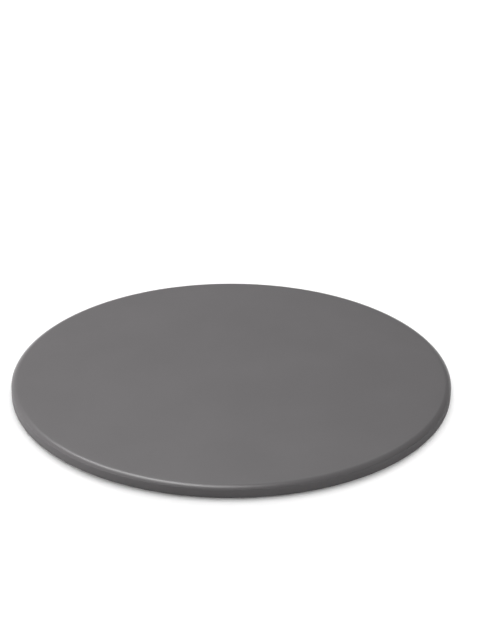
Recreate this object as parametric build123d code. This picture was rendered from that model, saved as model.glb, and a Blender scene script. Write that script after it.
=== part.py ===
from build123d import *
from math import asin, degrees, sqrt
import os

# Round glazed pizza stone: a pressed cordierite body under a fired coat of glaze.
# Millimetres, +Z up. The origin is the centre of the plane that the foot ring rests on.

os.makedirs("parts", exist_ok=True)

# Overall size, over the glaze
stone_diameter = 360.0
stone_thickness = 10.0

# Rim, over the glaze
eased_edge_width = 5.2  # how far in from the wall the top edge starts to roll over
eased_edge_radius = 7.0  # the broad curve that leaves the baking face
edge_corner_radius = 0.5  # the tight curve that takes it into the wall
lower_edge_radius = 1.0

# Glaze
glaze_thickness = 0.5
glaze_line_inset = 3.5  # from the wall in to the line under the rim where the glaze stops

# Unglazed underside
foot_ring_inset = 6.5  # from the wall in to where the foot ring leaves the underside of the rim
foot_ring_width = 12.0  # the flat that rests
foot_ring_height = 0.9  # how far the foot ring stands below the body beside it
foot_slope_width = 1.6  # run of the pressed slope on each side of the foot ring
recess_depth = 1.2  # from the resting plane up to the flat inside the foot ring

# Radii and heights that follow from these
stone_radius = stone_diameter / 2
body_radius = stone_radius - glaze_thickness
body_top = stone_thickness - glaze_thickness
easing_start_radius = stone_radius - eased_edge_width
easing_centre_z = stone_thickness - eased_edge_radius
lower_edge_start_radius = stone_radius - lower_edge_radius
glaze_line_radius = stone_radius - glaze_line_inset
glaze_underside = foot_ring_height - glaze_thickness
lower_edge_top = glaze_underside + lower_edge_radius
foot_outer_radius = stone_radius - foot_ring_inset
foot_rest_outer_radius = foot_outer_radius - foot_slope_width
foot_rest_inner_radius = foot_rest_outer_radius - foot_ring_width
recess_radius = foot_rest_inner_radius - foot_slope_width


def broad_curve(radius, turn):
    """The eased edge from the flat top outwards, through turn degrees, about the one centre that body and glaze share."""
    return CenterArc((easing_start_radius, easing_centre_z), radius, 90 - turn, turn)


def body_rim():
    """The pressed body's outline from its middle to the glaze line: eased edge, wall and a bevel under it."""
    curve_radius = eased_edge_radius - glaze_thickness
    reach = body_radius - easing_start_radius
    easing = broad_curve(curve_radius, degrees(asin(reach / curve_radius)))
    outline = Polyline(
        easing @ 0,
        (body_radius, lower_edge_top),
        (lower_edge_start_radius, foot_ring_height),
        (glaze_line_radius, foot_ring_height),
    )
    return [Line((0, body_top), easing @ 1), easing, *outline.edges()]


def glaze_rim():
    """The glaze's outer surface over the same way: its melt has rounded both edges of the wall."""
    corner_x = stone_radius - edge_corner_radius
    across = corner_x - easing_start_radius
    between_centres = eased_edge_radius - edge_corner_radius
    corner_z = easing_centre_z + sqrt(between_centres**2 - across**2)
    turn = degrees(asin(across / between_centres))
    return [
        Line((0, stone_thickness), (easing_start_radius, stone_thickness)),
        broad_curve(eased_edge_radius, turn),
        CenterArc((corner_x, corner_z), edge_corner_radius, 0, 90 - turn),
        Line((stone_radius, corner_z), (stone_radius, lower_edge_top)),
        CenterArc((lower_edge_start_radius, lower_edge_top), lower_edge_radius, 270, 90),
        Line((lower_edge_start_radius, glaze_underside), (glaze_line_radius, glaze_underside)),
    ]


def turned(outline):
    """The solid that a closed outline in radius and height makes when it is turned about the stone's axis."""
    return revolve(Plane.XZ * make_face(outline), Axis.Z)


def stone_body():
    """The pressed cordierite disc, with a flat foot ring and a shallow recess under it."""
    underside = Polyline(
        (glaze_line_radius, foot_ring_height),
        (foot_outer_radius, foot_ring_height),
        (foot_rest_outer_radius, 0),
        (foot_rest_inner_radius, 0),
        (recess_radius, recess_depth),
        (0, recess_depth),
        (0, body_top),
    )
    return turned([*body_rim(), *underside.edges()])


def glaze_coat():
    """The fired glaze: over the baking face, round the rim and under it as far as the glaze line."""
    middle = Line((0, body_top), (0, stone_thickness))
    glaze_line = Line((glaze_line_radius, glaze_underside), (glaze_line_radius, foot_ring_height))
    return turned([*glaze_rim(), *body_rim(), middle, glaze_line])


export_step(stone_body(), "parts/stone_body.step")
export_step(glaze_coat(), "parts/glaze_coat.step")
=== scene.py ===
import math

import bmesh
import bpy
from mathutils import Euler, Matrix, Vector, noise


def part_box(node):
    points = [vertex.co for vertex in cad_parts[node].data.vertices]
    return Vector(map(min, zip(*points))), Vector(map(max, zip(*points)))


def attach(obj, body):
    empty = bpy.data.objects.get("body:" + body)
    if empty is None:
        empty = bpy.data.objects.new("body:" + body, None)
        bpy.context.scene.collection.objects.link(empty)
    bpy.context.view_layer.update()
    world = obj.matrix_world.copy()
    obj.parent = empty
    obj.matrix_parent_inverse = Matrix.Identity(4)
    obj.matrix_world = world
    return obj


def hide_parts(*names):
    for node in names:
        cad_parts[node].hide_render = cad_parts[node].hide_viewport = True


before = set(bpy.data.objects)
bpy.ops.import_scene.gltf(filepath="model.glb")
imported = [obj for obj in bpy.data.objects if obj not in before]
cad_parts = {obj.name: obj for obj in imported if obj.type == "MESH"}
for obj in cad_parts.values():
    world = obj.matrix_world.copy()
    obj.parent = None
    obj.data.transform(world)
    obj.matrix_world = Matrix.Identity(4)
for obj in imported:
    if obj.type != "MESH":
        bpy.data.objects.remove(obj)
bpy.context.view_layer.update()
mm = 0.001
noiseLow, noiseHigh = 0.3, 0.7  # nearly all values of a noise texture lie between these

# What both pieces are built from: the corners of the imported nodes
glazeLow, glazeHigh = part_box("glaze_coat")
bodyLow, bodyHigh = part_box("stone_body")
stoneRadius = glazeHigh.x
print("frame loaded, stone radius", round(stoneRadius / mm, 1), "mm")


def linearColour(hexColour):
    # undoes the sRGB curve
    channels = [int(hexColour[i:i + 2], 16) / 255 for i in (1, 3, 5)]
    return [c / 12.92 if c <= 0.04045 else ((c + 0.055) / 1.055) ** 2.4 for c in channels] + [1.0]


def cyclesPerMetre(sizeMm):
    return 1 / (sizeMm * mm)  # a texture scale from the real size of one cell


def addNode(tree, kind, settings, links=()):
    # small letters name a setting of the node itself, capitals and numbers an input
    node = tree.nodes.new(kind)
    for key, value in settings.items():
        if isinstance(key, str) and hasattr(node, key):
            setattr(node, key, value)
        else:
            node.inputs[key].default_value = value
    for key, source in dict(links).items():
        tree.links.new(source, node.inputs[key])
    return node


def newMaterial(name):
    material = bpy.data.materials.new(name)
    material.use_nodes = True
    material.node_tree.nodes.clear()
    return material, material.node_tree


# Outlines are lists of (radius, height), walked in one direction and then turned about the stone's axis

def arcPoints(centre, radius, fromAngle, toAngle, steps):
    angles = [fromAngle + (toAngle - fromAngle) * i / steps for i in range(steps + 1)]
    return [(centre[0] + radius * math.cos(a), centre[1] + radius * math.sin(a)) for a in angles]


def roundedCorners(points, radius, steps):
    # every inner point of the path becomes a small round, as a die or a melt leaves it
    sideShare = 0.45  # the most of a side that one round may take, so that two never meet
    path = [points[0]]
    for before, corner, after in zip(points, points[1:], points[2:]):
        a, b = Vector(before) - Vector(corner), Vector(after) - Vector(corner)
        reach = min(radius / math.tan(a.angle(b) / 2), a.length * sideShare, b.length * sideShare)
        start, end = Vector(corner) + a.normalized() * reach, Vector(corner) + b.normalized() * reach
        for i in range(steps + 1):
            t = i / steps
            path.append(tuple(start * (1 - t) ** 2 + Vector(corner) * 2 * t * (1 - t) + end * t ** 2))
    return path + [points[-1]]


def turnedMesh(name, outline, segments):
    # both ends of the outline lie on the axis, so one point each closes the shell that the rings make
    shape = bmesh.new()
    angles = [math.tau * i / segments for i in range(segments)]
    turns = [(math.cos(a), math.sin(a)) for a in angles]
    rings = [[shape.verts.new((x * c, x * s, z)) for c, s in turns] for x, z in outline[1:-1]]
    first, last = shape.verts.new((0, 0, outline[0][1])), shape.verts.new((0, 0, outline[-1][1]))
    for i in range(segments):
        after = (i + 1) % segments
        shape.faces.new((first, rings[0][i], rings[0][after]))
        shape.faces.new((last, rings[-1][after], rings[-1][i]))
        for inner, outer in zip(rings, rings[1:]):
            shape.faces.new((inner[i], outer[i], outer[after], inner[after]))
    mesh = bpy.data.meshes.new(name)
    shape.to_mesh(mesh)
    shape.free()
    mesh.shade_smooth()
    piece = bpy.data.objects.new(name, mesh)
    bpy.context.scene.collection.objects.link(piece)
    return piece


# Glaze coat

glazeCoat = {
    "easedEdgeWidth": 5.2,  # mm, where the baking face starts to roll over
    "easedEdgeRadius": 7.0,
    "edgeCornerRadius": 0.5,
    "lowerEdgeRadius": 1.0,
    "coatThickness": 0.5,
    "lineInset": 3.5,  # mm in from the wall, where the glaze stops under the rim
    "lineRound": 0.4,  # mm, the most that the melt rounds off there
    "lineRunUp": 0.2,  # mm of flat underside before the stretch that ends at the line
    "lineWander": 0.35,  # mm that the wiped line strays by
    "lineWave": 28.0,  # mm along the rim for one stray
    "heaveHeight": 0.03,  # mm that the melt lies uneven by
    "heaveLength": 38.0,
    "colour": "#696768",
    "poolColour": "#666465",  # where the coat lies a little thicker
    "poolSpan": (0.35, 0.65),  # of the cloud noise, from the plain colour to the pooled one
    "cloudSize": 70.0,  # mm
    "speckSize": 1.6,  # mm, finer in life and drawn this coarse so that it shows at all
    "speckContrast": 0.015,  # how much lighter or darker a speck is, as a share
    "roughness": 0.34,
    "roughnessDrift": 0.03,
    "wallRoughness": 0.4,  # added on the upright wall, where the melt drains thin and dries matter
    "wallStart": 2.1,  # mm below the baking face, where the eased edge has turned into the wall
    "wallBlend": 0.3,  # mm of height for the change
    "peelSize": 3.0,  # mm, the skin of a satin melt
    "peelHeight": 0.05,  # mm
    "peelStrength": 0.12,  # how much of that height the light shows, as a share
    "segments": 480,
    "faceRings": 36,
    "ringCrowding": 0.8,  # under 1, so that the rings crowd towards the rim
    "steps": {"broad": 14, "tight": 12, "wall": 6, "lower": 12, "line": 6, "inner": 8},  # along the outline
}


def glazeOutline(s):
    radius, top, under, steps = stoneRadius, glazeHigh.z, glazeLow.z, s["steps"]
    width, broad, tight = s["easedEdgeWidth"] * mm, s["easedEdgeRadius"] * mm, s["edgeCornerRadius"] * mm
    low, coat = s["lowerEdgeRadius"] * mm, s["coatThickness"] * mm
    lineRadius = radius - s["lineInset"] * mm
    flat = radius - width
    across = radius - tight - flat
    cornerZ = top - broad + math.sqrt((broad - tight) ** 2 - across ** 2)
    turn = math.asin(across / (broad - tight))
    face = [(flat * (i / s["faceRings"]) ** s["ringCrowding"], top) for i in range(s["faceRings"])]
    broadCurve = arcPoints((flat, top - broad), broad, math.pi / 2, math.pi / 2 - turn, steps["broad"])
    tightCurve = arcPoints((radius - tight, cornerZ), tight, math.pi / 2 - turn, 0, steps["tight"])
    wallRange = range(1, steps["wall"])
    wall = [(radius, cornerZ + (under + low - cornerZ) * i / steps["wall"]) for i in wallRange]
    lowerCurve = arcPoints((radius - low, under + low), low, 0, -math.pi / 2, steps["lower"])
    lineEnd = roundedCorners(
        [(radius - low - s["lineRunUp"] * mm, under), (lineRadius, under), (lineRadius, under + coat)],
        s["lineRound"] * mm,
        steps["line"],
    )
    inner = [(radius - low, under + coat), (radius - coat, under + low)]
    innerStart = math.pi / 2 - math.asin((width - coat) / (broad - coat))
    innerCurve = arcPoints((flat, top - broad), broad - coat, innerStart, math.pi / 2, steps["inner"])
    outside = face + broadCurve + tightCurve[1:] + wall + lowerCurve + lineEnd
    return outside + inner + innerCurve + [(0, top - coat)]


def heave(piece, s):
    # the outer skin sinks here and there by hundredths of a mm, and the hidden inner one stays as it is
    halfCoat = s["coatThickness"] / 2 * mm
    middleZ = (glazeLow.z + glazeHigh.z) / 2
    lineZone = stoneRadius - (s["lineInset"] - 2 * s["lineRound"]) * mm  # holds the line and its round
    outward = [vertex.normal.copy() for vertex in piece.data.vertices]
    for vertex, away in zip(piece.data.vertices, outward):
        point = vertex.co
        reach = math.hypot(point.x, point.y)
        if point.z > glazeHigh.z - halfCoat or reach > stoneRadius - halfCoat:
            swell = noise.noise(point / (s["heaveLength"] * mm)) * s["heaveHeight"] * mm
            point += away * min(swell, 0)
        if point.z < middleZ and reach < lineZone:
            stray = noise.noise(point / (s["lineWave"] * mm)) * s["lineWander"] * mm
            point.x *= 1 + stray / reach
            point.y *= 1 + stray / reach
    piece.data.update()


def satinGlaze(s):
    # Dark grey stoneware glaze, fired matt to satin on cordierite. To the eye: an even soft grey with a
    # wide dim sheen, a hair darker where the melt pooled, and a skin uneven enough to break a hard
    # reflection. A clear glaze has an IOR near 1.5, and the fine crystals in a satin one dull its shine.
    material, tree = newMaterial("satinStonewareGlaze")
    place = addNode(tree, "ShaderNodeTexCoord", {}).outputs["Object"]
    cloud = addNode(
        tree,
        "ShaderNodeTexNoise",
        {"Scale": cyclesPerMetre(s["cloudSize"]), "Detail": 3.0},
        {"Vector": place},
    )
    speck = addNode(
        tree,
        "ShaderNodeTexNoise",
        {"Scale": cyclesPerMetre(s["speckSize"]), "Detail": 2.0},
        {"Vector": place},
    )
    peel = addNode(
        tree,
        "ShaderNodeTexNoise",
        {"Scale": cyclesPerMetre(s["peelSize"]), "Detail": 2.0},
        {"Vector": place},
    )
    pooled = addNode(
        tree,
        "ShaderNodeMapRange",
        {"From Min": s["poolSpan"][0], "From Max": s["poolSpan"][1]},
        {"Value": cloud.outputs["Fac"]},
    )
    tone = addNode(
        tree,
        "ShaderNodeMix",
        {"data_type": "RGBA", 6: linearColour(s["colour"]), 7: linearColour(s["poolColour"])},
        {0: pooled.outputs["Result"]},
    )
    speckled = addNode(
        tree,
        "ShaderNodeMapRange",
        {
            "From Min": noiseLow,
            "From Max": noiseHigh,
            "To Min": 1 - s["speckContrast"],
            "To Max": 1 + s["speckContrast"],
        },
        {"Value": speck.outputs["Fac"]},
    )
    base = addNode(
        tree,
        "ShaderNodeVectorMath",
        {"operation": "SCALE"},
        {0: tone.outputs[2], "Scale": speckled.outputs["Result"]},
    )
    drift = addNode(
        tree,
        "ShaderNodeMapRange",
        {
            "From Min": noiseLow,
            "From Max": noiseHigh,
            "To Min": s["roughness"] - s["roughnessDrift"] / 2,
            "To Max": s["roughness"] + s["roughnessDrift"] / 2,
        },
        {"Value": cloud.outputs["Fac"]},
    )
    heightNow = addNode(tree, "ShaderNodeSeparateXYZ", {}, {"Vector": place}).outputs["Z"]
    wallEdge = glazeHigh.z - s["wallStart"] * mm
    drained = addNode(
        tree,
        "ShaderNodeMapRange",
        {
            "From Min": wallEdge - s["wallBlend"] / 2 * mm,
            "From Max": wallEdge + s["wallBlend"] / 2 * mm,
            "To Min": s["wallRoughness"],
            "To Max": 0.0,
        },
        {"Value": heightNow},
    )
    dry = addNode(
        tree,
        "ShaderNodeMath",
        {"operation": "ADD"},
        {0: drift.outputs["Result"], 1: drained.outputs["Result"]},
    )
    skin = addNode(
        tree,
        "ShaderNodeBump",
        {"Strength": s["peelStrength"], "Distance": s["peelHeight"] * mm},
        {"Height": peel.outputs["Fac"]},
    )
    shader = addNode(
        tree,
        "ShaderNodeBsdfPrincipled",
        {"IOR": 1.42},
        {
            "Base Color": base.outputs["Vector"],
            "Roughness": dry.outputs["Value"],
            "Normal": skin.outputs["Normal"],
        },
    )
    addNode(tree, "ShaderNodeOutputMaterial", {}, {"Surface": shader.outputs["BSDF"]})
    return material


glazePiece = turnedMesh("glazeCoat", glazeOutline(glazeCoat), glazeCoat["segments"])
heave(glazePiece, glazeCoat)
glazePiece.data.materials.append(satinGlaze(glazeCoat))
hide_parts("glaze_coat")
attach(glazePiece, "root")
print("glaze coat turned", len(glazePiece.data.vertices), "points")


# Stone body

stoneBody = {
    "footInset": 6.5,  # mm in from the wall to the foot ring
    "footWidth": 12.0,
    "footSlope": 1.6,
    "recessDepth": 1.2,
    "cornerRadius": 0.7,
    "colour": "#CDBDA2",
    "darkColour": "#B09C7E",
    "grogSize": 1.8,  # mm, the coarse grit in the clay
    "grogSpan": (0.05, 0.34),  # outwards from a grain's middle, where it fades into the clay
    "grogStrength": 0.9,  # how much of the dark colour a grain has
    "grainSize": 0.6,  # mm
    "grainHeight": 0.08,  # mm
    "grainStrength": 0.5,  # how much of that height the light shows, as a share
    "toastSize": 45.0,  # mm, patches that the kiln browned more
    "toastTones": (0.9, 1.01),  # how bright the browned and the plain patches are
    "roughness": 0.88,
    "segments": 360,
    "topShares": (0.0, 0.5),  # of the flat top's radius, where its rings of points lie
    "recessShares": (0.6, 0.4, 0.2, 0.0),  # and of the recess
    "steps": {"easing": 8, "corner": 5},  # along the outline
}


def bodyOutline(s, glaze):
    radius, top, ledge = bodyHigh.x, bodyHigh.z, glazeLow.z + glaze["coatThickness"] * mm
    low = glaze["lowerEdgeRadius"] * mm
    flat = stoneRadius - glaze["easedEdgeWidth"] * mm
    curve = (glaze["easedEdgeRadius"] - glaze["coatThickness"]) * mm
    turn = math.asin((radius - flat) / curve)
    easing = arcPoints((flat, top - curve), curve, math.pi / 2, math.pi / 2 - turn, s["steps"]["easing"])
    footOuter = stoneRadius - s["footInset"] * mm
    restOuter = footOuter - s["footSlope"] * mm
    restInner = restOuter - s["footWidth"] * mm
    recessEdge = restInner - s["footSlope"] * mm
    recessZ = s["recessDepth"] * mm
    topRings = [(flat * share, top) for share in s["topShares"]]
    recessRings = [(recessEdge * share, recessZ) for share in s["recessShares"]]
    under = roundedCorners(
        [
            (stoneRadius - low, ledge),
            (footOuter, ledge),
            (restOuter, bodyLow.z),
            (restInner, bodyLow.z),
            (recessEdge, recessZ),
            recessRings[0],
        ],
        s["cornerRadius"] * mm,
        s["steps"]["corner"],
    )
    return topRings + easing + [(radius, glazeLow.z + low)] + under + recessRings[1:]


def cordieriteBiscuit(s):
    # Cordierite, dry pressed and fired without glaze. To the eye: a dry buff body with fine grit, soft
    # patches where the kiln browned it more, and no shine.
    material, tree = newMaterial("cordieriteBiscuit")
    place = addNode(tree, "ShaderNodeTexCoord", {}).outputs["Object"]
    grog = addNode(
        tree,
        "ShaderNodeTexVoronoi",
        {"Scale": cyclesPerMetre(s["grogSize"])},
        {"Vector": place},
    )
    grain = addNode(
        tree,
        "ShaderNodeTexNoise",
        {"Scale": cyclesPerMetre(s["grainSize"]), "Detail": 4.0, "Roughness": 0.7},
        {"Vector": place},
    )
    toast = addNode(
        tree,
        "ShaderNodeTexNoise",
        {"Scale": cyclesPerMetre(s["toastSize"]), "Detail": 3.0},
        {"Vector": place},
    )
    browned = addNode(
        tree,
        "ShaderNodeMapRange",
        {
            "From Min": noiseLow,
            "From Max": noiseHigh,
            "To Min": s["toastTones"][0],
            "To Max": s["toastTones"][1],
        },
        {"Value": toast.outputs["Fac"]},
    )
    grit = addNode(
        tree,
        "ShaderNodeMapRange",
        {
            "From Min": s["grogSpan"][0],
            "From Max": s["grogSpan"][1],
            "To Min": s["grogStrength"],
            "To Max": 0.0,
        },
        {"Value": grog.outputs["Distance"]},
    )
    tone = addNode(
        tree,
        "ShaderNodeMix",
        {"data_type": "RGBA", 6: linearColour(s["colour"]), 7: linearColour(s["darkColour"])},
        {0: grit.outputs["Result"]},
    )
    base = addNode(
        tree,
        "ShaderNodeVectorMath",
        {"operation": "SCALE"},
        {0: tone.outputs[2], "Scale": browned.outputs["Result"]},
    )
    skin = addNode(
        tree,
        "ShaderNodeBump",
        {"Strength": s["grainStrength"], "Distance": s["grainHeight"] * mm},
        {"Height": grain.outputs["Fac"]},
    )
    shader = addNode(
        tree,
        "ShaderNodeBsdfPrincipled",
        {"Roughness": s["roughness"], "IOR": 1.5},
        {"Base Color": base.outputs["Vector"], "Normal": skin.outputs["Normal"]},
    )
    addNode(tree, "ShaderNodeOutputMaterial", {}, {"Surface": shader.outputs["BSDF"]})
    return material


bodyPiece = turnedMesh("stoneBody", bodyOutline(stoneBody, glazeCoat), stoneBody["segments"])
bodyPiece.data.materials.append(cordieriteBiscuit(stoneBody))
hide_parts("stone_body")
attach(bodyPiece, "root")
print("stone body turned", len(bodyPiece.data.vertices), "points")


# Floor, world and lights

studio = {
    "floorHalf": 12.0,  # m
    "floorColour": "#D2D2D2",
    "floorGain": 1.56,  # how far the eye sees the paper brighter than it bounces light on to the stone
    "ceilingStrength": 0.05,
    "backdropStrength": 1.0,  # white all round, from the horizon up
    "backdropTop": (7.5, 9.5),  # degrees, where the white backdrop fades into the ceiling
    "lampDistance": 1.4,  # m from the middle of the resting plane
}


def whitePaper(s):
    # Matt white paper. Eyes, mirrors and glass see it as plain white, and its shadow under the rim stays.
    material, tree = newMaterial("whitePaper")
    rays = addNode(tree, "ShaderNodeLightPath", {})
    paper = linearColour(s["floorColour"])
    real = addNode(tree, "ShaderNodeBsdfDiffuse", {"Color": paper})
    brightPaper = [c * s["floorGain"] for c in paper[:3]] + [1.0]
    seen = addNode(tree, "ShaderNodeBsdfDiffuse", {"Color": brightPaper})
    mirrored = addNode(
        tree,
        "ShaderNodeMath",
        {"operation": "MAXIMUM"},
        {0: rays.outputs["Is Glossy Ray"], 1: rays.outputs["Is Transmission Ray"]},
    )
    looked = addNode(
        tree,
        "ShaderNodeMath",
        {"operation": "MAXIMUM"},
        {0: rays.outputs["Is Camera Ray"], 1: mirrored.outputs["Value"]},
    )
    both = addNode(
        tree,
        "ShaderNodeMixShader",
        {},
        {0: looked.outputs["Value"], 1: real.outputs["BSDF"], 2: seen.outputs["BSDF"]},
    )
    addNode(tree, "ShaderNodeOutputMaterial", {}, {"Surface": both.outputs["Shader"]})
    return material


half = studio["floorHalf"]
floorMesh = bpy.data.meshes.new("floor")
floorCorners = [(-half, -half, 0), (half, -half, 0), (half, half, 0), (-half, half, 0)]
floorMesh.from_pydata(floorCorners, [], [(0, 1, 2, 3)])
floorPiece = bpy.data.objects.new("floor", floorMesh)
floorMesh.materials.append(whitePaper(studio))
bpy.context.scene.collection.objects.link(floorPiece)

# The world is the studio round the stone: a white backdrop up to a few degrees above the horizon, and a dim
# ceiling over it
world = bpy.data.worlds.new("studio")
world.use_nodes = True
sky = world.node_tree
sky.nodes.clear()
direction = addNode(sky, "ShaderNodeTexCoord", {}).outputs["Generated"]
upward = addNode(sky, "ShaderNodeSeparateXYZ", {}, {"Vector": direction}).outputs["Z"]
backdropEdge = [math.sin(math.radians(angle)) for angle in studio["backdropTop"]]
glow = addNode(
    sky,
    "ShaderNodeMapRange",
    {
        "From Min": backdropEdge[0],
        "From Max": backdropEdge[1],
        "To Min": studio["backdropStrength"],
        "To Max": studio["ceilingStrength"],
    },
    {"Value": upward},
)
room = addNode(sky, "ShaderNodeBackground", {"Color": (1, 1, 1, 1)}, {"Strength": glow.outputs["Result"]})
addNode(sky, "ShaderNodeOutputWorld", {}, {"Surface": room.outputs["Background"]})
bpy.context.scene.world = world


def towards(azimuth, height):
    # azimuth 0 is the stone's right and 90 is behind it, height is degrees above the floor
    a, h = math.radians(azimuth), math.radians(height)
    return Vector((math.cos(h) * math.cos(a), math.cos(h) * math.sin(a), math.sin(h)))


def aimedLight(name, kind, s, lit):
    # flags keep each light off what it isn't meant for, so it reaches only the pieces in lit
    holder = bpy.data.objects.new(name, bpy.data.lights.new(name, kind))
    away = towards(s["azimuth"], s["height"])
    holder.location = away * studio["lampDistance"]
    facing = (-away).to_track_quat("-Z", "Y")
    roll = Euler((0, 0, math.radians(s.get("roll", 0)))).to_quaternion()
    holder.rotation_euler = (facing @ roll).to_euler()
    holder.visible_camera = False
    bpy.context.scene.collection.objects.link(holder)
    reach = bpy.data.collections.new(name + "Reach")
    for piece in lit:
        reach.objects.link(piece)
    holder.light_linking.receiver_collection = reach
    return holder


# azimuth, height and roll in degrees, size in m, radiance as the eye would see the front of the box
# the low fills give soft light only: mirrored in the face they would wash it out when seen from a low side
softboxes = {
    "keySoftbox": {
        "azimuth": 148, "height": 72, "roll": -22, "size": (0.32, 1.28), "radiance": 14.5, "mirrored": True,
    },
    "topFill": {"azimuth": 180, "height": 75, "size": (0.5, 0.5), "radiance": 2.1, "mirrored": True},
    "leftFill": {"azimuth": 175, "height": 10, "size": (0.5, 0.2), "radiance": 46.0, "mirrored": False},
    "frontFill": {"azimuth": 257, "height": 8, "size": (0.5, 0.3), "radiance": 2.8, "mirrored": False},
    "rightFill": {"azimuth": 320, "height": 8, "size": (0.4, 0.3), "radiance": 2.2, "mirrored": False},
    "backFill": {"azimuth": 93, "height": 45, "size": (0.83, 0.43), "radiance": 1.3, "mirrored": True},
}
for name, box in softboxes.items():
    holder = aimedLight(name, "AREA", box, [glazePiece, bodyPiece])
    holder.visible_glossy = box["mirrored"]
    light = holder.data
    light.shape = "RECTANGLE"
    light.size, light.size_y = box["size"]
    light.energy = math.pi * box["radiance"] * box["size"][0] * box["size"][1]

# far lights that only the paper gets, spread in degrees, level as the share of white that each one gives it
paperLights = {
    "paperBack": {"azimuth": 90, "height": 62, "spread": 55, "level": 0.62},
    "paperBackLeft": {"azimuth": 120, "height": 14, "spread": 26, "level": 0.14},
    "paperBackRight": {"azimuth": 60, "height": 14, "spread": 26, "level": 0.1},
    "paperLeft": {"azimuth": 180, "height": 25, "spread": 40, "level": 0.07},
    "paperRight": {"azimuth": 0, "height": 25, "spread": 40, "level": 0.1},
    "paperFront": {"azimuth": 270, "height": 22, "spread": 40, "level": 0.15},
}
for name, sun in paperLights.items():
    light = aimedLight(name, "SUN", sun, [floorPiece]).data
    light.angle = math.radians(sun["spread"])
    light.energy = math.pi * sun["level"] / math.sin(math.radians(sun["height"]))
print("floor, world and", len(softboxes) + len(paperLights), "lights in place")


# Camera

cameraView = {
    "imageSize": (502, 642),
    "distance": 1.5,  # m from the middle of the resting plane
    "elevation": 27.977,  # degrees
    "tilt": 1.993,  # degrees that it looks above the stone's middle
    "focalPixels": 1816.3,
    "stoneColumn": 231.2,  # px, where the stone's middle stands
    "sensor": 36.0,  # mm, the long side
    "farthest": 100.0,  # m that it sees
}
cameraData = bpy.data.cameras.new("camera")
longSide = max(cameraView["imageSize"])
cameraData.sensor_width = cameraView["sensor"]
cameraData.lens = cameraView["focalPixels"] * cameraView["sensor"] / longSide
cameraData.shift_x = (cameraView["imageSize"][0] / 2 - cameraView["stoneColumn"]) / longSide
cameraData.clip_end = cameraView["farthest"]
camera = bpy.data.objects.new("camera", cameraData)
elevation = math.radians(cameraView["elevation"])
camera.location = (
    0, -cameraView["distance"] * math.cos(elevation), cameraView["distance"] * math.sin(elevation)
)
camera.rotation_euler = (math.pi / 2 - elevation + math.radians(cameraView["tilt"]), 0, 0)
bpy.context.scene.collection.objects.link(camera)
bpy.context.scene.camera = camera
bpy.context.scene.view_settings.view_transform = "Standard"
print("camera placed, lens", round(cameraData.lens, 1), "mm")
